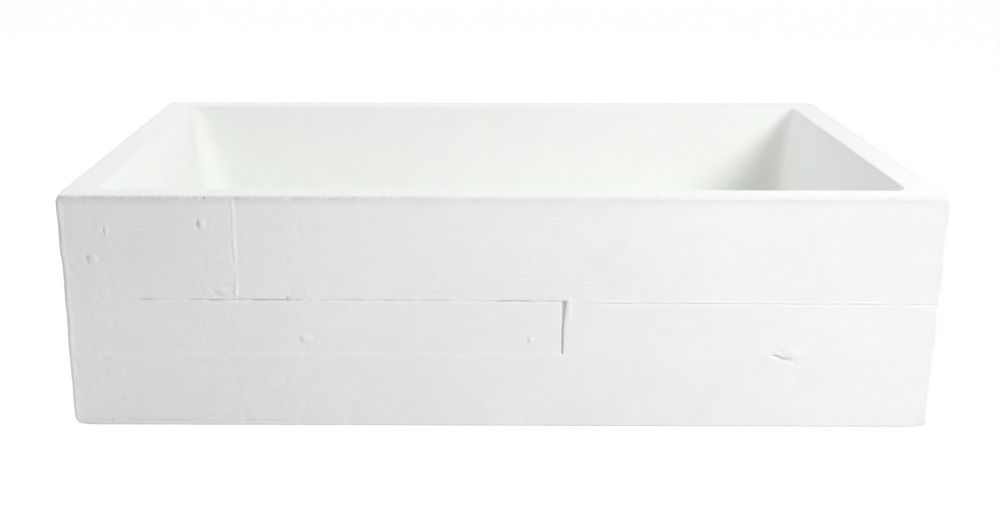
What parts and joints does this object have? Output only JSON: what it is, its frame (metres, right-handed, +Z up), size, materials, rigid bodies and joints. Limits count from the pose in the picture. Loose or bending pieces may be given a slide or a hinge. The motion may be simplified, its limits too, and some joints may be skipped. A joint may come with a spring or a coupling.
{
  "type": "trough sink",
  "caption": "Long rectangular board-formed cast-concrete trough sink with a thin rim, an open deep bowl and a chrome push-to-close waste in its floor.",
  "frame": {"origin": "middle of the footprint, on the surface that the basin stands on; the waste's axis passes through it", "axes": "+X along the trough to the right, -Y towards the front, +Z up"},
  "size_m": [0.914, 0.508, 0.254],
  "materials": {
    "concrete": "matte",
    "chrome_plate": "polished",
    "bare_brass": "satin",
    "steel": "satin",
    "white_plastic": "satin",
    "black_rubber": "matte"
  },
  "bodies": {
    "fixed": {"basin": "concrete", "waste_body": "chrome_plate", "flange_gasket": "black_rubber", "cone_gasket": "black_rubber", "slip_washer": "white_plastic", "lock_nut": "chrome_plate", "cartridge_barrel": "bare_brass", "stud_nut": "bare_brass", "guide_sleeve": "white_plastic", "gland_nut": "bare_brass", "gland_seal": "black_rubber", "return_spring": "steel"},
    "plug": {"plunger": "steel", "jam_nut": "bare_brass", "plug_carrier": "white_plastic", "plug_seal": "black_rubber", "plug_cap": "chrome_plate"},
    "indexer": {"index_ring": "white_plastic"}
  },
  "joints": [
    {"name": "plug_slide", "type": "slide", "parent": "fixed", "child": "plug", "axis": [0, 0, 1], "range_m": [-0.0095, 0], "stiffness_N_per_m": 600, "springref_m": 0.006, "deforming": ["return_spring"]},
    {"name": "index_turn", "type": "hinge", "parent": "fixed", "child": "indexer", "pos_m": [0, 0, 0.06735], "axis": [0, 0, 1], "range_deg": [0, 45]}
  ],
  "couplings": [
    {"joint": "index_turn", "follows": "plug_slide", "rad_per_m": -82.67}
  ]
}
